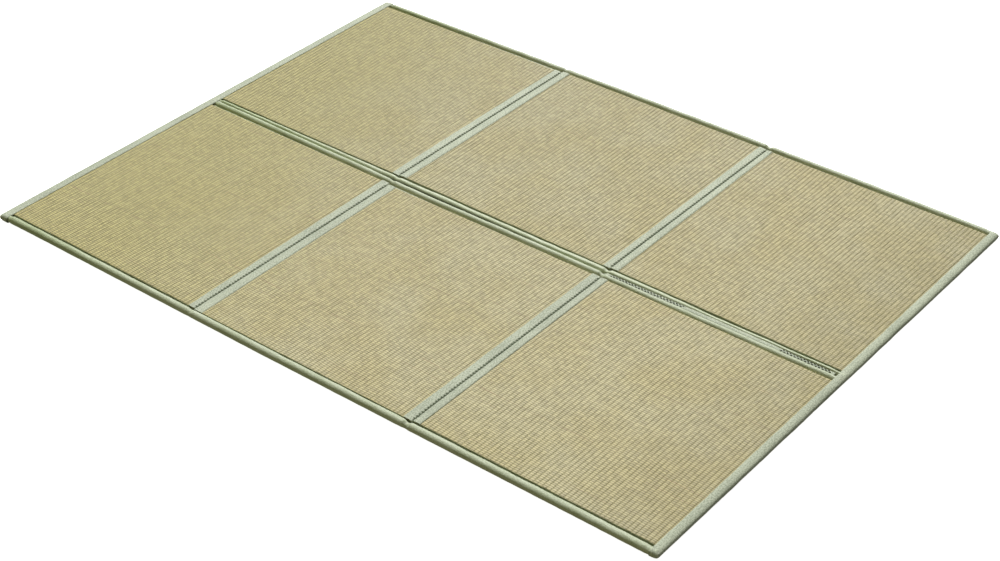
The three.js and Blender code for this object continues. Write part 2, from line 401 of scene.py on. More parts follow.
def rushFinish():
    look, light, heights, layers = rushLook, rushLook["light"], rushLook["heights"], rushLook["layers"]
    f = Finish("wovenRush", look["surface"])
    u, v, _ = f.coords()
    place = f.objectCoords()
    placeX, placeY, _ = f.separate(place)
    rib = f.math("FLOOR", u)
    fromCrest = f.away(f.math("FRACT", u), 0.5)
    valleyBreaks = f.streaks(rib, v, *look["valleyBreaks"])
    valley = f.times(f.ramp(fromCrest, *look["valleyEdge"]), f.ramp(valleyBreaks, *look["valleyBreakEdge"]))
    # bundles of strands lie over each rib, offset from rib to rib
    offset = f.times(f.white(rib, layers["offset"]), look["cellOffset"])
    offset = f.plus(offset, f.times(f.streaks(rib, v, *look["drift"]), look["cellDrift"]))
    along = f.plus(f.math("DIVIDE", v, look["cellLength"]), offset)
    cellTone = f.white(rib, f.math("FLOOR", along), layers["cell"])
    cellGap = f.ramp(f.away(f.math("FRACT", along), 0.5), *look["cellGap"])
    strands = f.math("DIVIDE", v, look["strandPitch"])
    strand = f.math("FLOOR", strands)
    tone = f.mix(f.ramp(f.noise(place, *look["patchScale"]), *look["patchEdge"]), look["tan"], look["pale"])
    leftShare = f.ramp(f.plus(placeX, f.times(placeY, look["oliveSlant"])), *look["oliveEnd"])
    tone = f.mix(leftShare, tone, look["olive"])
    # a row of strands keeps its tone over much of the panel
    shown = f.plus(
        f.times(cellTone, light["cell"]),
        f.times(f.white(strand, layers["strand"]), light["strand"]),
        f.times(f.streaks(u, v, *look["grain"]), light["grain"]),
        f.times(f.streaks(u, v, *look["rows"]), light["rows"]),
    )
    shown = f.plus(f.minus(shown, f.times(cellGap, light["gap"])), light["all"])
    # the right end of the mat is a little darker
    shown = f.times(shown, f.ramp(placeX, *look["rightEnd"]), f.ramp(placeY, *look["farRow"]))
    tone = f.shade(tone, shown)
    brown = f.math("GREATER_THAN", f.white(strand, layers["brown"]), look["brownFrom"])
    brown = f.times(brown, f.ramp(f.streaks(u, strand, *look["brownRun"]), *look["brownEdge"]))
    tone = f.mix(f.times(brown, look["brownShare"]), tone, look["brown"])
    # the ribs show more on the left panels and on the far middle one
    middleOne = f.minus(1.0, f.ramp(f.math("ABSOLUTE", placeX), *look["middlePanel"]))
    farMiddle = f.times(middleOne, f.ramp(placeY, *look["farRibs"]))
    ribShow = f.plus(f.ramp(placeX, *look["leftRibs"]), farMiddle, look["ribShow"])
    # the valleys between the ribs are darker: partly the colour of the strings there, partly painted shade in the
    # recess
    tone = f.mix(f.times(valley, ribShow), tone, look["valley"])
    # each strand is a small round stalk, and the bundle dips at its ends and at the ribs' seams
    across = f.minus(f.times(f.math("FRACT", strands), 2.0), 1.0)
    stalk = f.math("SQRT", f.minus(look["stalkRound"], f.times(across, across)))
    height = f.plus(f.times(stalk, heights["stalk"]), f.times(cellTone, heights["cell"]))
    height = f.minus(height, f.times(cellGap, heights["gap"]), f.times(valley, heights["valley"]))
    return f.finish(tone, height, *look["relief"])


clothLook = {
    "surface": {"Specular IOR Level": 0.35, "Sheen Weight": 0.10, "Sheen Roughness": 0.4},
    "threadPitch": 0.55,
    "slubs": (0.5, 0.0, 3.0),  # scale along v, layer and detail
    "mottle": (0.25, 0.25, 4.0, 1.0),
    "patchScale": (11.0, 2.0),
    "patchShare": 0.2,
    "toneEdge": (0.40, 0.60),
    "rowEdge": (-0.003, 0.003),
    "heights": {"weave": 0.25, "mottle": 2.4},
    "relief": (0.5, 0.0004),
}
bindingLook = {
    "light": (0.462, 0.505, 0.368, 1),
    "deep": (0.352, 0.398, 0.248, 1),
    "rows": (1.02, 1.17),  # painted light: how brightly the near and the far row are lit
    "roughness": 0.5,
    "slubScale": 0.02,
    "speckle": 0.45,
    "leftEnd": (-1.0, -0.4, 1.0, 0.0),
    "leftTint": (0.84, 0.88, 0.74, 1),
    # painted shade: the far outer roll is darker
    "farOuterShade": (0.745, 0.755, 1.0, 0.84),
    # painted shade: the low near side of the near outer roll, right of the middle, is tinted darker brown
    "lowSideShadeHeight": (0.0135, 0.0060),
    "lowSideShadeAlong": (0.0, 0.75),
    "lowSideShadeSide": (-0.764, -0.768),
    "lowSideShadeTint": (0.78, 0.70, 0.60, 1),
    "lowSideShadeShare": 0.85,
    # painted shade: the inner rolls are darkened low in the gap between the rows, about the middle of the mat
    "gapShadePlace": (-0.15, 0.0008),
    "gapShadeAcross": (0.0015, 0.0075),
    "gapShadeAlong": (0.16, 0.40),
    "gapShadeHeight": (0.0130, 0.0185),
    "gapShadeShare": 0.72,
}
tapeLook = {
    "light": (0.478, 0.520, 0.384, 1),
    "deep": (0.286, 0.322, 0.228, 1),
    # painted light: how brightly the near and the far row are lit
    "rows": (0.90, 0.97),
    "roughness": 0.6,
    "slubScale": 0.12,
    "speckle": 0.85,
}


# The left end of the bindings is deeper green; painted shade darkens the low near side of the near outer roll, the
# inner rolls low in the gap between the rows, and the far outer roll
def tintAndShadeBinding(f, tone, rowLight, place):
    look = bindingLook
    x, y, z = f.separate(place)
    tone = f.stain(f.ramp(x, *look["leftEnd"]), tone, look["leftTint"])
    # painted shade: a darker brown tint low on the near side of the near outer roll
    tintAndShade = f.times(f.ramp(z, *look["lowSideShadeHeight"]), f.ramp(x, *look["lowSideShadeAlong"]), f.ramp(y, *look["lowSideShadeSide"]))
    tone = f.stain(f.times(tintAndShade, look["lowSideShadeShare"]), tone, look["lowSideShadeTint"])
    # painted shade: the inner rolls darken low down in the gap between the rows
    middleX, middleY = look["gapShadePlace"]
    nearGap = f.minus(1.0, f.ramp(f.away(y, middleY), *look["gapShadeAcross"]))
    inMiddle = f.minus(1.0, f.ramp(f.away(x, middleX), *look["gapShadeAlong"]))
    low = f.minus(1.0, f.ramp(z, *look["gapShadeHeight"]))
    gapShade = f.times(nearGap, inMiddle, low, look["gapShadeShare"])
    # the row's painted light, with painted shade on the far outer roll and low in the gap between the rows
    return tone, f.times(rowLight, f.ramp(y, *look["farOuterShade"]), f.minus(1.0, gapShade))


def clothFinish(name, look, tintAndShade=False):
    f = Finish(name, {**clothLook["surface"], "Roughness": look["roughness"]})
    u, v, _ = f.coords()
    place = f.objectCoords()
    # warp and weft of a plain weave
    weave = f.times(*(f.math("SINE", f.times(way, 2 * math.pi / clothLook["threadPitch"])) for way in (u, v)))
    slubs = f.streaks(u, v, look["slubScale"], *clothLook["slubs"])
    mottle = f.streaks(u, v, *clothLook["mottle"])
    share = f.plus(f.times(slubs, 1.0 - look["speckle"]), f.times(mottle, look["speckle"]))
    patches = f.times(f.noise(place, *clothLook["patchScale"]), clothLook["patchShare"])
    share = f.plus(f.times(share, 1.0 - clothLook["patchShare"]), patches)
    tone = f.mix(f.ramp(share, *clothLook["toneEdge"]), look["deep"], look["light"])
    # painted light: each row's cloth is painted brighter or darker as its light falls
    rowLight = f.ramp(f.separate(place)[1], *clothLook["rowEdge"], *look["rows"])
    if tintAndShade:
        tone, rowLight = tintAndShadeBinding(f, tone, rowLight, place)
    heights = clothLook["heights"]
    height = f.plus(f.times(weave, heights["weave"]), f.times(mottle, heights["mottle"]))
    return f.finish(f.shade(tone, rowLight), height, *clothLook["relief"])


threadLook = {"fibres": (700.0, 2.0, 0.5), "roughness": 0.6, "relief": (0.3, 0.0002)}
plainLooks = {
    "plainBacking": {
        "tones": ((0.30, 0.29, 0.24, 1), (0.46, 0.44, 0.37, 1)),
        "fibres": (900.0, 3.0, 0.7),
        "patches": (14.0, 2.0),
        "patchShare": 0.4,
        "roughness": 0.9,
        "relief": (0.4, 0.0004),
    },
    # painted shade: dark tones for the shadow deep in the seam between a rush face and its binding
    "seamShadow": {
        "tones": ((0.130, 0.145, 0.076, 1), (0.221, 0.2465, 0.1292, 1)),
        "fibres": (500.0, 2.0, 0.6),
        "roughness": 0.9,
        "relief": (0.4, 0.0004),
    },
    "sewingThread": {"tones": ((0.095, 0.125, 0.075, 1), (0.185, 0.225, 0.140, 1)), **threadLook},
    # painted shadow: the hinge thread is near black, standing in for the shadowed gaps between its zigzag stitches
    "hingeThreadAndShadow": {"tones": ((0.013, 0.018, 0.007, 1), (0.036, 0.046, 0.020, 1)), **threadLook},
}


def plainFinish(name):
    look = plainLooks[name]
    f = Finish(name, {"Roughness": look["roughness"]})
    place = f.objectCoords()
    share = fibres = f.noise(place, *look["fibres"])
    if "patches" in look:
        patches = f.times(f.noise(place, *look["patches"]), look["patchShare"])
        share = f.plus(f.times(fibres, 1.0 - look["patchShare"]), patches)
    return f.finish(f.mix(share, *look["tones"]), fibres, *look["relief"])


rushCloth = rushFinish()
bindingCloth = clothFinish("bindingCloth", bindingLook, tintAndShade=True)
tapeCloth = clothFinish("tapeCloth", tapeLook)
backingCloth, seamShadowFinish, seamThread, hingeThreadAndShadow = (plainFinish(name) for name in plainLooks)
print("finishes made")


binding = {
    "cloth": 1.2,
    "radius": 9.85,
    "grooveZ": 11.2,
    "cappedRadius": {"left": 7.95, "right": 9.25},  # under the end tapes
    "taper": (1009.0, 1020.5),
    "endX": 1040.4,
    "stationStep": 8.0,
    "fineStations": {350.0: 2.0, 1017.0: 2.5},  # distance from the middle and step
    "fineReach": 15,
    # how much the roll is drawn in where it passes the left and the right cross joint
    "pinch": {
        "near outer": (0.9, 2.4),
        "near inner": (1.2, 2.2),
        "far inner": (1.2, 2.0),
        "far outer": (1.4, 2.4),
    },
    "pinchReach": 13,
    "sway": (0.26, 34, 30),  # height, length, and reach of the calm stretch at a joint
    "seeds": {"near outer": (11, 5), "near inner": (23, 6), "far inner": (37, 7), "far outer": (53, 8)},
    # height, twist round the roll and length
    "ripple": (0.15, 40, 13),
    "fineRipple": (0.1, 15, 6),
    # first and last angle over and under the roll, and the count of points
    "overRoll": (8, 150, 18),
    "underRoll": (160, 270, 9),
    "tuckGap": 0.4,
    "tuckWave": (0.1, -0.05),
    "underGap": 0.3,
    "underLeast": 6.0,
    "lipShares": (0.34, 0.67, 1.0),
    "lieRadius": 10,  # radius of the roll that the widths below are for
    # each roll's centre, and how far it reaches to the mat's side and to the other side, as it lies
    "lie": {
        "near outer": {
            "x": (-1050, -900, -350, -100, 350, 800, 1050),
            "centre": (-761.2, -760.8, -763.0, -764.2, -763.4, -762.0, -762.6),
            "mat": (10.4, 10.4, 9.8, 9.6, 9.8, 10, 10),
            "free": (11.2, 10.8, 11.4, 11.6, 11.8, 12.4, 11.8),
        },
        "near inner": {
            "x": (-1050, -900, -510, -356, -344, -200, 190, 344, 356, 500, 580, 640, 850, 940, 1050),
            "centre": (1.6, 1.6, -3.5, -7.2, -8.2, -10.0, -8.4, -9.4, -12.6, -14.8, -14.6, -14.6, -14.6, -14.2, -14.2),
            "mat": (11.5, 11.5, 10.2, 9.6, 9.8, 10, 10, 10, 9.6, 10, 10, 10, 10, 10, 10),
            "free": (5.0, 5.0, 8.0, 8.6, 8.8, 9.2, 9.0, 8.8, 7.0, 6.6, 7.4, 8.4, 8.4, 7.0, 7.0),
        },
        "far inner": {
            "x": (-1050, -900, -510, -350, -200, 190, 350, 500, 580, 640, 850, 940, 1050),
            "centre": (13.6, 13.6, 12.2, 11.8, 11.2, 8.6, 9.8, 10.6, 9.2, 6.6, 5.8, 6.0, 5.6),
            "mat": (8.5, 8.5, 9, 9.6, 10.6, 10.2, 9.8, 9.6, 9.5, 9.3, 8.6, 8.0, 8.0),
            "free": (6.2, 6.2, 7.6, 8.6, 9.2, 7.6, 8.0, 8.0, 7.0, 5.4, 4.8, 4.6, 4.6),
            "box": (1, 1, 1, 1, 1, 0.72, 0.74, 0.82, 0.84, 0.84, 0.84, 0.84, 0.84),
        },
        "far outer": {
            "x": (-1050, -900, -600, -350, -100, 200, 350, 800, 1050),
            "centre": (763.4, 765.0, 768.3, 770.3, 772.2, 772.2, 770.6, 768.8, 764.8),
            "mat": (10, 10, 10, 10, 10, 10, 10, 10, 10),
            "free": (10, 10, 10, 10, 10, 10, 10, 10, 9.6),
        },
    },
}


# The roll's centre, its radius upwards, its two half widths and its centre's height
def rollAt(row, side, x):
    x = np.asarray(x, float)
    key = f"{row} {side}"
    lie = binding["lie"][key]
    centre, mat, free = (np.interp(x, lie["x"], lie[part]) for part in ("centre", "mat", "free"))
    height, length, calm = binding["sway"]
    loose = (1 - bump(x, jointX(0), calm)) * (1 - bump(x, jointX(1), calm))
    radius = binding["radius"] + height * wander(x, binding["seeds"][key][0], length) * loose
    for joint, pinch in enumerate(binding["pinch"][key]):
        radius = radius - pinch * bump(x, jointX(joint), binding["pinchReach"])
    ends = step(np.abs(x), *binding["taper"])
    capped = np.where(x > 0, binding["cappedRadius"]["right"], binding["cappedRadius"]["left"])
    radius = radius * (1 - ends) + capped * ends
    low = radius * (1 - ends) + layout["tapeTop"] / 2 * ends
    return centre, radius, mat * radius / binding["lieRadius"], free * radius / binding["lieRadius"], low


def columnAt(x):
    pitch = layout["pitch"]
    return int(np.clip(math.floor((x + 1.5 * pitch) / pitch), 0, 2))


# Closer together at the cross joints and where the rolls go under the end tapes
def stationsX():
    reach = binding["fineReach"]
    xs = list(np.arange(-binding["endX"], binding["endX"], binding["stationStep"])) + [binding["endX"]]
    xs = [x for x in xs if min(abs(abs(x) - spot) for spot in binding["fineStations"]) > reach + 1]
    for spot, spacing in binding["fineStations"].items():
        for middle in (-spot, spot):
            xs += list(np.arange(middle - reach, middle + reach + 0.1, spacing))
    return np.array(sorted(set(round(float(x), 3) for x in xs)))


# From the groove beside the mat's face, over the roll and back under it; first value away from the roll's centre
def bindingSection(radius, mat, free, faceReach, box):
    angles = np.radians(np.concatenate([np.linspace(*binding["overRoll"]), np.linspace(*binding["underRoll"])]))
    wide = np.where(np.cos(angles) > 0, mat, free)
    bent = np.where((angles > math.pi / 2) & (angles < math.pi), box, 1.0)
    cos, sin = np.cos(angles), np.sin(angles)
    roll = joined(wide * np.sign(cos) * np.abs(cos) ** bent, radius * np.sign(sin) * np.abs(sin) ** bent)
    tuckZ = (binding["grooveZ"] - binding["lieRadius"]) * radius / binding["lieRadius"]
    start = roll[0, 0]
    reach = faceReach - binding["tuckGap"]
    waveOut, waveIn = binding["tuckWave"]
    tuck = np.array([[reach, tuckZ + waveOut], [start + 0.5 * (reach - start), tuckZ + waveIn]])
    under = max(faceReach - binding["underGap"], binding["underLeast"])
    lip = np.array([[under * share, -radius] for share in binding["lipShares"]])
    onRoll = np.repeat([0, 1, 0], [len(tuck), len(roll), len(lip)])
    return np.concatenate([tuck, roll, lip]), onRoll


def addBinding(row, side):
    away = outwards(row, side)
    xs = stationsX()
    centre, radius, mat, free, low = rollAt(row, side, xs)
    seed = binding["seeds"][f"{row} {side}"][1]
    lie = binding["lie"][f"{row} {side}"]
    box = np.interp(xs, lie["x"], lie.get("box", np.ones(len(lie["x"]))))
    height, twist, length = binding["ripple"]
    fineHeight, fineTwist, fineLength = binding["fineRipple"]
    outer, inner, coords = [], [], []
    for i, x in enumerate(xs):
        face = float(faceEdge(row, columnAt(x), side, x))
        line, onRoll = bindingSection(radius[i], mat[i], free[i], abs(face - centre[i]), box[i])
        coords.append(joined(x, runAlong(line)))
        angle = np.arctan2(line[:, 1], line[:, 0])
        ripple = height * wander(x + twist * np.sin(2 * angle), seed, length)
        ripple = ripple + fineHeight * wander(x + fineTwist * angle, seed + 1, fineLength)
        line = line * (1 + onRoll * ripple / radius[i])[:, None]
        for part, grid in ((line, outer), (offsetLine(line, binding["cloth"]), inner)):
            grid.append(joined(x, centre[i] - away * part[:, 0], np.maximum(part[:, 1] + low[i], 0.0)))
    name = f"rolled_binding_{row}_{side}"
    return clothPiece(name, outer, inner, coords, bindingCloth, "binding_cloth", away < 0)


bindings = {(row, side): addBinding(row, side) for row in rowNames for side in ("outer", "inner")}
print("bindings rolled")


rush = {
    "ribs": 54,
    "ribPitch": 645 / 54,
    "ribsUnderTape": 1,
    "ribSteps": 8,
    "ribDepth": 0.95,
    "ribPower": 2.4,
    "underTape": 0.25,  # height left of the ribs under the tapes
    "lead": (348.3, 348.1, 346.8, 344.5, 341.0, 337.5),  # stations between the ribs and the joint
    "rowsAcross": 50,
    "edgeRows": (0, 0.35, 1.0, 2.0),
    "firstRow": 6,
    "edgeRound": 2.0,
    "edgeDrop": 1.5,
    # height, offset for each panel or rib, seed and length
    "lineWander": (0.8, 90, 60, 150),
    "ribWander": (0.25, 300.0, 80, 60),
    "ribHeight": (0.10, 71.0, 90, 70),
    "fineHeight": (0.05, 37.0, 120, 16),
    "swell": (0.3, 0, 100, 120),
    "calmPower": 6,  # the wander fades towards the tapes
    "topLimit": 0.3,
    # it sinks towards the tapes, and further under them
    "sinks": ((0.25, 300, 326), (1.5, 329, 344)),
    "seamPull": (336, 346),  # where the section starts to follow the line where its tapes meet
    "roundMiddle": 9.6,
    "roundFrom": 343.6,
    "roundReach": 4.75,
    "roundLeast": 0.02,
    "backingReach": 321.9,
    "backingStep": 0.3,
    "backingInset": 60,
    "backingCount": 5,
    "beadGap": 0.55,
    "beadAngles": (-5, 270, 11),
    "beadLow": 1.4,
    "neckDrop": 0.6,
    "lipInsets": (0.6, 0.9),
    "lipZ": 1.7,
}
rushHalf = (rush["ribs"] / 2 + rush["ribsUnderTape"]) * rush["ribPitch"]


def rushStations():
    steps = (rush["ribs"] + 2 * rush["ribsUnderTape"]) * rush["ribSteps"]
    lead = np.array(rush["lead"])
    backing = rush["backingReach"] + rush["backingStep"]
    return np.sort(np.concatenate([-lead, np.linspace(-rushHalf, rushHalf, steps + 1), lead, [-backing, backing]]))


# How far points move along the mat, to follow the line where the tapes meet
def seamPull(row, column, s, y):
    pull = np.zeros(len(y))
    for joint, end in ((column - 1, -1), (column, 1)):
        if 0 <= joint <= 1 and s * end > 0:
            moved = jointLine(row, joint, "seam", y) - jointX(joint)
            pull = pull + moved * float(step(abs(s), *rush["seamPull"]))
    return pull


def panelWander(y, number, count, height, offset, seed, length):
    return height * wander(y + offset * count, seed + number, length)


# One line of the face, from its low to its high edge: the points' move along the mat and their height
def rushFace(number, s, ribCoord, inside, topY, across):
    rib = math.floor(ribCoord)
    phase = ribCoord - rib - 0.5
    fromEdge = np.minimum(across, across[::-1])
    drop = rush["edgeDrop"] * (1 - np.clip(fromEdge / rush["edgeRound"], 0, 1)) ** 2
    centred = max(0.0, 1 - abs(s / rushHalf) ** rush["calmPower"])
    shift = panelWander(topY, number, number, *rush["lineWander"]) * centred
    shift = shift + panelWander(topY, number, rib, *rush["ribWander"]) * (1 if centred else 0)
    depth = rush["ribDepth"]
    profile = depth * (1 - (2 * abs(phase)) ** rush["ribPower"]) if inside else rush["underTape"]
    tall = panelWander(topY, number, rib, *rush["ribHeight"]) + panelWander(topY, number, rib, *rush["fineHeight"])
    swell = panelWander(topY, number, 0, *rush["swell"]) * centred * math.cos(s / rushHalf * math.pi / 2)
    topZ = layout["rushTop"] - depth + profile + tall * (profile / depth) + swell - drop
    sink = sum(deep * float(step(abs(s), start, stop)) for deep, start, stop in rush["sinks"])
    return shift, np.minimum(topZ, layout["rushTop"] + rush["topLimit"]) - sink


# The pad's edge inside a roll, from the edge of the face round the bead to the backing
def padEdge(row, column, side, s, x, faceY, under):
    end = outwards(row, side)
    centre, radius, mat, free, low = (float(v) for v in rollAt(row, side, x))
    pad = binding["cloth"] + rush["beadGap"]
    angles = np.radians(np.linspace(*rush["beadAngles"]))
    wide = np.where(np.cos(angles) > 0, mat - pad, free - pad)
    beadY = centre - end * wide * np.cos(angles)
    beadZ = np.maximum(low + (radius - pad) * np.sin(angles), rush["beadLow"])
    y = np.concatenate([[faceY], beadY, [faceY - end * inset for inset in rush["lipInsets"]]])
    z = np.concatenate([[low - rush["neckDrop"]], beadZ, [rush["lipZ"], under]])
    return joined(x + seamPull(row, column, s, y), y, z)


def addRushPanel(row, column):
    number = column + (3 if row == "far" else 0)
    lowSide, highSide = lowHighSides[row]
    stations = rushStations()
    points, coords = [], []
    for s in stations:
        x = (column - 1) * layout["pitch"] + s
        lowY, highY = (float(faceEdge(row, column, side, x)) for side in (lowSide, highSide))
        rows = np.linspace(rush["firstRow"], highY - lowY - rush["firstRow"], rush["rowsAcross"])
        across = np.concatenate([rush["edgeRows"], rows, highY - lowY - np.array(rush["edgeRows"][::-1])])
        topY = lowY + across
        ribCoord = s / rush["ribPitch"] + rush["ribs"] / 2
        inside = abs(s) <= rushHalf + 0.01
        shift, topZ = rushFace(number, s, ribCoord, inside, topY, across)
        shift = shift + seamPull(row, column, s, topY)
        under = 0.0 if abs(s) <= rush["backingReach"] else rush["lipZ"]
        backingY = np.linspace(highY - rush["backingInset"], lowY + rush["backingInset"], rush["backingCount"])
        # over the face from the low to the high edge, round the high one, below, and round the low one
        ring = np.concatenate([
            joined(x + shift, topY, topZ),
            padEdge(row, column, highSide, s, x, highY, under),
            joined(x, backingY, under),
            padEdge(row, column, lowSide, s, x, lowY, under)[::-1],
        ])
        alongRibs = np.full(len(ring), ribCoord if inside else 0.5)
        if s > 0 and not inside:
            alongRibs[: len(topY)] = rush["ribs"] - 0.5
        coords.append(joined(alongRibs, ring[:, 1]))
        squash = max(rush["roundLeast"], 1 - max(0.0, (abs(s) - rush["roundFrom"]) / rush["roundReach"]) ** 2)
        ring[:, 2] = rush["roundMiddle"] + (ring[:, 2] - rush["roundMiddle"]) * math.sqrt(squash)
        points.append(ring)
    count, top = len(ring), len(topY)
    # painted shade: the rolled near edge of the rush face and the wall below it take the dark seam finish, for the
    # shadow deep in its seam with the binding
    ringSlots = [2 if j in (0, 1, count - 1) else 0 if j < top else 1 for j in range(count)]
    slots = ringSlots * (len(stations) - 1) + [1, 1]
    faces = [face[::-1] for face in ringFaces(len(stations), count) + endFaces(len(stations), count)]
    name = f"rush_panel_{row}_{columnNames[column]}"
    materials = [rushCloth, backingCloth, seamShadowFinish]
    piece = addPiece(f"woven_{name}", np.concatenate(points), faces, materials, slots, np.concatenate(coords))
    finishPiece(piece, "rush_face", name)
    return piece


panels = {(row, column): addRushPanel(row, column) for row in rowNames for column in range(3)}
print("rush panels laid")


jointTape = {
    "cloth": 1.3,
    "corner": 3.6,
    "seam": 0.15,
    "dip": 0.8,
    "dipPower": 1.6,
    "stationStep": 5.5,
    "edgeDrop": (1.5, 2.6, 1.5),  # depth, reach and power
    "edgeRows": (0, 0.9),
    "flat": (2.4, 0.6, 9),  # from the outer edge, to the corner, and the count of points
    "turn": (84, -90, 15),  # angles round the panel's edge, the first 8 of them at its top
    "turnTop": 8,
    "base": (0.8, 27.5, 8),  # from the corner, to the turned edge below, and the count of points
    "measureAt": 14,
    "seed": 200,
    "farSeed": 10,
    "loose": {1: 0.7, -1: 0.35},  # how uneven the left and the right tape are
    # height, slant, seed and length
    "wobble": ((1.0, 0, 0, 45), (0.6, 0, 40, 8)),
    "lift": ((0.16, 2.5, 3, 22), (0.09, 7, 5, 7)),
    "liftRange": (0.1, 0.05),
    "topFrom": (14, 3),
}


# Small waves of a tape along its length
def waves(y, seed, parts, aside=0.0):
    return sum(height * wander(y + slant * aside, seed + more, length) for height, slant, more, length in parts)


# The tape's outer line across the joint, over its own panel's edge and back below; the seam is at zero
def jointTapeSection(width):
    corner = jointTape["corner"]
    outside = -jointTape["seam"]
    flatFrom, cornerGap, flatCount = jointTape["flat"]
    edge = [-width + row for row in jointTape["edgeRows"]]
    flat = np.concatenate([edge, np.linspace(-width + flatFrom, outside - corner - cornerGap, flatCount)])
    share = (flat + width) / (width - corner - cornerGap)
    topZ = layout["tapeTop"] - jointTape["dip"] * share ** jointTape["dipPower"]
    drop, reach, power = jointTape["edgeDrop"]
    topZ = topZ - drop * (1 - np.clip((flat + width) / reach, 0, 1)) ** power
    cornerTop = layout["tapeTop"] - jointTape["dip"]
    turn = np.radians(np.linspace(*jointTape["turn"]))
    middleZ = np.where(np.arange(len(turn)) < jointTape["turnTop"], cornerTop - corner, corner)
    edgeRound = joined(outside - corner + corner * np.cos(turn), middleZ + corner * np.sin(turn))
    baseGap, below, baseCount = jointTape["base"]
    base = np.linspace(outside - corner - baseGap, -below, baseCount)
    return np.concatenate([joined(flat, topZ), edgeRound, joined(base, 0.0)])


def addJointTape(row, joint, away, number):
    column = joint if away > 0 else joint + 1
    measureX = jointX(joint) - away * jointTape["measureAt"]
    lowY, highY = sorted(float(faceEdge(row, column, side, measureX)) for side in ("outer", "inner"))
    seed = jointTape["seed"] + number + (jointTape["farSeed"] if row == "far" else 0)
    low, most = jointTape["liftRange"]
    topLow, topReach = jointTape["topFrom"]
    outer, inner, coords = [], [], []
    for y in np.linspace(lowY, highY, int((highY - lowY) / jointTape["stationStep"])):
        seam = float(jointLine(row, joint, "seam", y))
        edge = float(jointLine(row, joint, "left" if away > 0 else "right", y))
        line = jointTapeSection(abs(seam - edge) + jointTape["loose"][away] * waves(y, seed, jointTape["wobble"]))
        coords.append(joined(y, runAlong(line)))
        onTop = np.clip((line[:, 1] - topLow) / topReach, 0, 1)
        rise = np.minimum(waves(y, seed, jointTape["lift"], line[:, 0]) - low, most) * onTop
        for part, grid in ((line, outer), (offsetLine(line, -jointTape["cloth"]), inner)):
            grid.append(joined(seam + away * part[:, 0], y, part[:, 1] + rise))
    name = f"sewn_joint_tape_{row}_{number}"
    return clothPiece(name, outer, inner, coords, tapeCloth, "tape_cloth", away < 0), highY - lowY


for row in rowNames:
    for joint in range(2):
        for away, number in ((1, 2 * joint + 1), (-1, 2 * joint + 2)):
            addJointTape(row, joint, away, number)
print("joint tapes sewn")


endTape = {
    "cloth": 1.3,
    "reach": 775.0,
    "overlap": 0.3,
    "stationStep": 5.0,
    "rounding": (4, 86, 10),
    "cornerRound": 9.0,
    "rowsInset": 3,
    "leastRoom": 0.05,
    "seed": 300,
    "farSeed": 10,
    "rightSeed": 5,
    "turnCount": 19,
    "turnPower": 0.9,
    "edgeDrop": (1.4, 3.0, 1.5),  # depth, reach and power
    "calm": 30,  # both tapes have the same line where they meet
    # height, slant, seed and length
    "wobble": ((0.6, 0, 0, 50), (0.35, 0, 40, 8)),
    "bulge": ((0.4, 0, 60, 40), (0.25, 0, 61, 11)),
    "lift": ((0.16, 2.0, 3, 24), (0.08, 0.0, 5, 7)),
    "liftLimit": 0.1,
    "left": {"openX": 1022.5, "endX": 1051.5, "fullness": 3.2},
    "right": {"openX": 1026.5, "endX": 1049.0, "fullness": 2.7},
}


# One side of the folded tape, from its open edge on top over the mat's end and back below
def endTapeLine(near, openX, length, inset, squash, fullness):
    half = layout["tapeTop"] / 2
    turn = np.linspace(0, 1, endTape["turnCount"])
    across = (length - inset) * np.sin(turn * math.pi / 2) ** endTape["turnPower"]
    tall = (half - inset) * (1 - (across / (length - inset)) ** fullness) ** (1 / fullness)
    line = np.concatenate([joined(openX + across, tall), joined(openX + across, -tall)[::-1][1:]])
    room = max(endTape["leastRoom"], (near - inset) / near) if inset and near < half else 1.0
    line[:, 1] *= squash * room
    drop, reach, power = endTape["edgeDrop"]
    line[: len(across), 1] -= drop * (1 - np.clip(across / reach, 0, 1)) ** power * squash
    return line


# The near and the far tape of one end meet over the centre line
def addEndTape(row, endName):
    end = -1 if endName == "left" else 1
    sign = -1 if row == "near" else 1
    shape = endTape[endName]
    half = layout["tapeTop"] / 2
    reach, corner = endTape["reach"], endTape["cornerRound"]
    rounding = half * (1 - np.cos(np.radians(np.linspace(*endTape["rounding"]))))
    rows = np.arange(half + endTape["rowsInset"], reach - endTape["rowsInset"], endTape["stationStep"])
    fromEnd = np.concatenate([rounding, rows, [reach + endTape["overlap"]]])
    seed = endTape["seed"] + (endTape["farSeed"] if row == "far" else 0) + (endTape["rightSeed"] if end > 0 else 0)
    limit = endTape["liftLimit"]
    outer, inner, coords = [], [], []
    for near in fromEnd if sign < 0 else fromEnd[::-1]:
        y = sign * (reach - near)
        squash = math.sqrt(max(1e-4, 1 - max(0.0, 1 - near / half) ** 2))
        plan = corner * (1 - math.sqrt(max(0.0, 1 - max(0.0, 1 - near / corner) ** 2)))
        apart = float(step(abs(y), 0, endTape["calm"]))
        openX = shape["openX"] + waves(y, seed, endTape["wobble"]) * apart
        length = shape["endX"] + waves(y, seed, endTape["bulge"]) * apart - plan - openX
        lines = [endTapeLine(near, openX, length, inset, squash, shape["fullness"])
                 for inset in (0.0, endTape["cloth"])]
        lift = np.minimum(waves(y, seed, endTape["lift"], lines[0][:, 0]), limit) * apart
        for line, grid in zip(lines, (outer, inner)):
            z = half + line[:, 1] + (lift - limit) * np.clip(line[:, 1] / half, 0, 1)
            grid.append(joined(end * line[:, 0], y, np.maximum(z, 0)))
        coords.append(joined(y, runAlong(lines[0])))
    return clothPiece(f"sewn_end_tape_{row}_{endName}", outer, inner, coords, tapeCloth, "tape_cloth", end < 0)


ends = {(row, endName): addEndTape(row, endName) for row in rowNames for endName in ("left", "right")}
print("end tapes sewn")


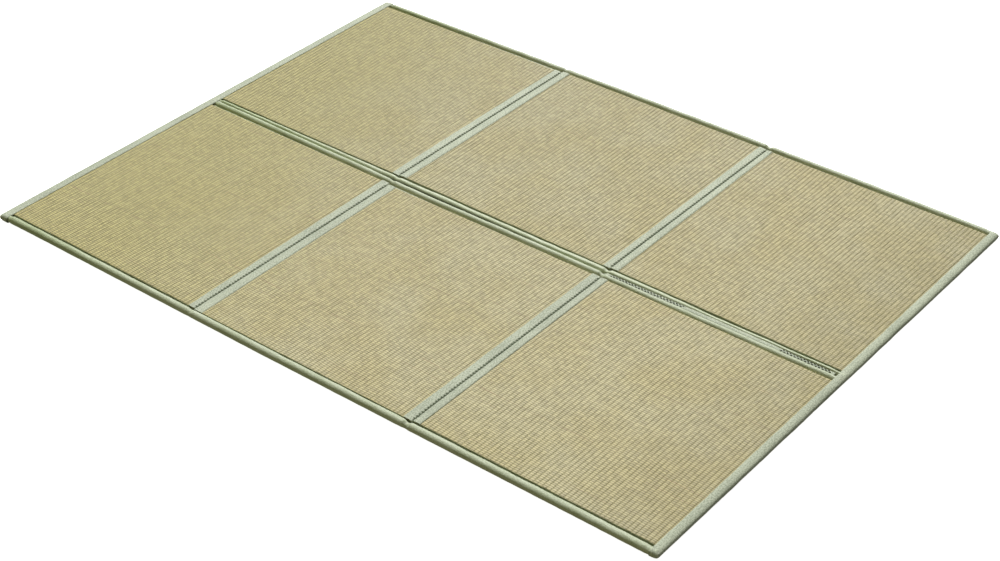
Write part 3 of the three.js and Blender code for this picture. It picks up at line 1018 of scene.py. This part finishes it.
hinge = {
    "cloth": 1.0,
    "endX": 1021.0,
    "stationStep": 6.0,
    "countAcross": 9,
    "topX": (-1021, -850, -600, -350, -200, 190, 345, 361, 560, 620, 850, 900, 1021),
    "topZ": (16.6, 16.6, 12.5, 8.5, 6.5, 8.0, 10.0, 15.4, 16.2, 18.0, 18.0, 16.4, 16.2),
    "crownX": (-1021, 350, 380, 560, 620, 850, 900, 1021),
    "crown": (-0.4, -0.4, 0.9, 0.9, 0.6, 0.6, 0.9, 0.9),
    "below": 0.3,
    "sideGap": 0.35,
    "steepest": 0.95,
    "leastWidth": 0.8,
    "ripple": (0.15, 30, 401, 12),  # height, slant, seed and length
}


# The hinge tape's top and crown, and where it meets the two inner rolls
def hingeAt(x):
    top = float(np.interp(x, hinge["topX"], hinge["topZ"]))
    crown = float(np.interp(x, hinge["crownX"], hinge["crown"]))
    edges = []
    for row, side in (("near", 1), ("far", -1)):
        centre, radius, _, free, low = (float(v) for v in rollAt(row, "inner", x))
        up = np.clip((top - hinge["cloth"] - low) / radius, 0, hinge["steepest"])
        edges.append(centre + side * (free * math.sqrt(1 - up**2) + hinge["sideGap"]))
    return top - hinge["below"], crown, *edges


def addHinge():
    height, slant, seed, length = hinge["ripple"]
    share = np.linspace(0, 1, hinge["countAcross"])
    outer, inner, coords = [], [], []
    for x in np.arange(-hinge["endX"], hinge["endX"] + 0.1, hinge["stationStep"]):
        top, crown, low, high = hingeAt(x)
        if high - low < hinge["leastWidth"]:
            low, high = ((low + high) / 2 + side * hinge["leastWidth"] / 2 for side in (-1, 1))
        z = top + crown * np.sin(share * math.pi) + height * wander(x + slant * share, seed, length)
        y = low + (high - low) * share
        outer.append(joined(x, y, z))
        inner.append(joined(x, y, z - hinge["cloth"]))
        coords.append(joined(x, y))
    return clothPiece("sewn_centre_hinge_tape", outer, inner, coords, tapeCloth, "tape_cloth", True)


hingeTape = addHinge()
print("hinge tape sewn")


stitch = {
    "sides": 5,
    "pathPoints": 6,
    "pitch": 9.6,
    "uneven": 0.5,
    "endGap": 5,
    "threads": 3,
    "threadRadius": 0.7,
    "threadGap": 2.05,
    "lean": 1.2,
    "across": (-4.6, 3.0),  # from the seam, to the left and to the right
    "sunk": 1.7,
    "proud": 0.6,
    "endDip": 0.9,
    "seed": 500,
}
hingeStitch = {
    "pitch": 9.6,
    "length": 4.4,
    "radius": 1.2,
    "runs": ((372, 590), (872, 1008)),
    "fromMiddle": 2.2,
    "edgeRoom": 0.8,
    "lean": 0.5,
    "arch": 0.6,
}


def addThreads(name, paths, radius, material):
    points, faces = [], []
    total = 0
    for path in paths:
        ring, ringFacesHere = threadMesh(path, radius, stitch["sides"])
        faces += [tuple(i + total for i in face) for face in ringFacesHere]
        points.append(ring)
        total += len(ring)
    return finishPiece(addPiece(name, np.concatenate(points), faces, [material]), "tape_cloth")


# Short bars of thread across the groove between two joint tapes
def addJointStitches(row, joint):
    lowSide, highSide = lowHighSides[row]
    columns = (joint, joint + 1)
    lowY = max(float(faceEdge(row, column, lowSide, jointX(joint))) for column in columns) + stitch["endGap"]
    highY = min(float(faceEdge(row, column, highSide, jointX(joint))) for column in columns) - stitch["endGap"]
    count = int((highY - lowY) / stitch["pitch"])
    corner, radius = jointTape["corner"], stitch["threadRadius"]
    cornerTop = layout["tapeTop"] - jointTape["dip"]
    share = np.linspace(0, 1, stitch["pathPoints"])
    left, right = stitch["across"]
    dx = left + (right - left) * share
    depth = np.clip(corner + jointTape["seam"] - np.abs(dx), 0, corner)
    onTape = cornerTop - corner + np.sqrt(corner**2 - depth**2)
    z = np.maximum(onTape, cornerTop - stitch["sunk"]) + radius * stitch["proud"]
    z[[0, -1]] -= stitch["endDip"]
    paths = []
    for k in range(count):
        y = lowY + (k + 0.5) * (highY - lowY) / count + stitch["uneven"] * float(wander(k, stitch["seed"] + joint, 1))
        seam = float(jointLine(row, joint, "seam", y))
        for thread in range(stitch["threads"]):
            offset = (thread - (stitch["threads"] - 1) / 2) * radius * stitch["threadGap"]
            paths.append(joined(seam + dx, y + offset + stitch["lean"] * (share - 0.5), z))
    return addThreads(f"joint_stitches_{row}_{joint + 1}", paths, radius, seamThread)


# The hinge tape is sewn down with two rows of stitches where the gap is wide, drawn near black as painted shadow of the
# gaps between them
def addHingeStitches():
    share = np.linspace(0, 1, stitch["pathPoints"])
    paths = []
    for start, stop in hingeStitch["runs"]:
        for k, x in enumerate(np.arange(start, stop, hingeStitch["pitch"] / 2)):
            top, crown, low, high = hingeAt(x)
            side = 1 if k % 2 else -1
            aside = min(hingeStitch["fromMiddle"], (high - low) / 2 - hingeStitch["edgeRoom"])
            y = (low + high) / 2 + side * aside + hingeStitch["lean"] * (share - 0.5)
            along = x + hingeStitch["length"] * (share - 0.5)
            z = top + crown * np.sin((y - low) / (high - low) * math.pi) + hingeStitch["arch"] * np.sin(share * math.pi)
            paths.append(joined(along, y, z))
    return addThreads("hinge_stitches", paths, hingeStitch["radius"], hingeThreadAndShadow)


jointStitches = {(row, joint): addJointStitches(row, joint) for row in rowNames for joint in range(2)}
hingeStitches = addHingeStitches()
print("seams stitched")


studio = {
    "floorSize": 60.0,
    "floorDrop": 0.0006,
    "floorSurface": {
        "Base Color": (0.80, 0.80, 0.80, 1),
        "Roughness": 0.9,
        "Specular IOR Level": 0.1,
        "Emission Color": (1, 1, 1, 1),
        "Emission Strength": 0.94,
    },
    "sunStrength": 4.3,
    "sunColour": (1.0, 1.0, 1.0),
    "sunFrom": (-0.42, 0.64, 0.78),
    "sunAngle": 10.0,
    # from and to, along the sky's height and its depth
    "skyHeight": (-0.06, 0.06),
    "skyLight": (0.24, 0.27),
    "skyDepth": (0.2, -0.8),
    "neutral": (1.0, 1.0, 1.0, 1),
    "warm": (1.0, 0.95, 0.52, 1),
}


def addFloor():
    half = studio["floorSize"] / 2
    mesh = bpy.data.meshes.new("paleFloor")
    mesh.from_pydata([(-half, -half, 0), (half, -half, 0), (half, half, 0), (-half, half, 0)], [], [(0, 1, 2, 3)])
    mesh.materials.append(Finish("paleFloor", studio["floorSurface"]).material)
    floor = bpy.data.objects.new("paleFloor", mesh)
    floor.location.z = -studio["floorDrop"]
    scene.collection.objects.link(floor)
    floor.visible_diffuse = False
    floor.visible_glossy = False


def addSun():
    data = bpy.data.lights.new("softKey", "SUN")
    data.energy = studio["sunStrength"]
    data.angle = math.radians(studio["sunAngle"])
    data.color = studio["sunColour"]
    lamp = bpy.data.objects.new("softKey", data)
    lamp.rotation_mode = "QUATERNION"
    lamp.rotation_quaternion = Vector(studio["sunFrom"]).to_track_quat("Z", "Y")
    scene.collection.objects.link(lamp)


def skyRange(tree, names, values):
    made = tree.nodes.new("ShaderNodeMapRange")
    for name, value in zip(names, values):
        made.inputs[name].default_value = value
    return made


# A soft even sky, a little dimmer below, and warmer on the side away from the sun
def addSky():
    world = bpy.data.worlds.new("studioSky")
    world.use_nodes = True
    scene.world = world
    tree = world.node_tree
    coords = tree.nodes.new("ShaderNodeTexCoord")
    parts = tree.nodes.new("ShaderNodeSeparateXYZ")
    spans = ("From Min", "From Max", "To Min", "To Max")
    height = skyRange(tree, spans, studio["skyHeight"] + studio["skyLight"])
    side = skyRange(tree, spans, studio["skyDepth"])
    tint = tree.nodes.new("ShaderNodeMix")
    tint.data_type = "RGBA"
    tint.inputs[6].default_value = studio["neutral"]
    tint.inputs[7].default_value = studio["warm"]
    tree.links.new(coords.outputs["Generated"], parts.inputs[0])
    tree.links.new(parts.outputs["Z"], height.inputs["Value"])
    tree.links.new(parts.outputs["Y"], side.inputs["Value"])
    tree.links.new(side.outputs[0], tint.inputs[0])
    back = tree.nodes["Background"]
    tree.links.new(tint.outputs[2], back.inputs["Color"])
    tree.links.new(height.outputs[0], back.inputs["Strength"])


addFloor()
addSun()
addSky()
scene.view_settings.view_transform = "Standard"
print("studio lit")
